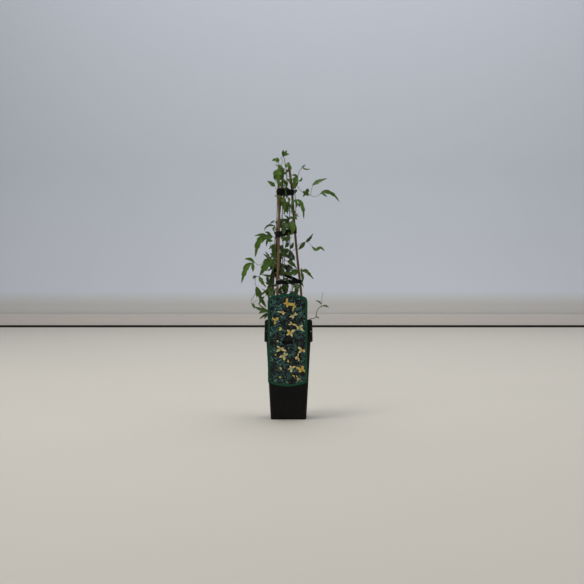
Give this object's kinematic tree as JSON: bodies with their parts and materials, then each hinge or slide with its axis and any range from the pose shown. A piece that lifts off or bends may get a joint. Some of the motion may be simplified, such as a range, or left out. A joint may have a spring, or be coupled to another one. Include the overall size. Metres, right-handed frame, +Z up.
{
  "type": "potted golden clematis",
  "caption": "Young climbing clematis with cut, toothed leaflets, growing up bamboo canes and clips in a tall square nursery pot with a picture label on its front.",
  "frame": {"origin": "centre of the pot's flat base, on the surface it stands on", "axes": "+Z up along the pot and canes, the picture label faces -Y, +X to the right seen from the label's side"},
  "size_m": [0.2297, 0.1291, 0.6255],
  "materials": {
    "black_polypropylene": "satin",
    "peat": "matte",
    "printed_card": "satin",
    "pale_bamboo": "satin",
    "brown_bamboo": "satin",
    "clip_plastic": "satin",
    "leaves": "satin"
  },
  "bodies": {
    "root": {"pot": "black_polypropylene", "soil": "peat", "picture_label": "printed_card", "cane_front_left": "pale_bamboo", "cane_back_left": "brown_bamboo", "cane_right": "brown_bamboo", "clip_top": "clip_plastic", "clip_middle": "clip_plastic", "clip_low": "clip_plastic", "vine_left": "leaves", "vine_right": "leaves", "vine_centre": "leaves", "vine_back": "leaves", "shoot_right": "leaves", "shoot_left": "leaves"}
  },
  "joints": []
}
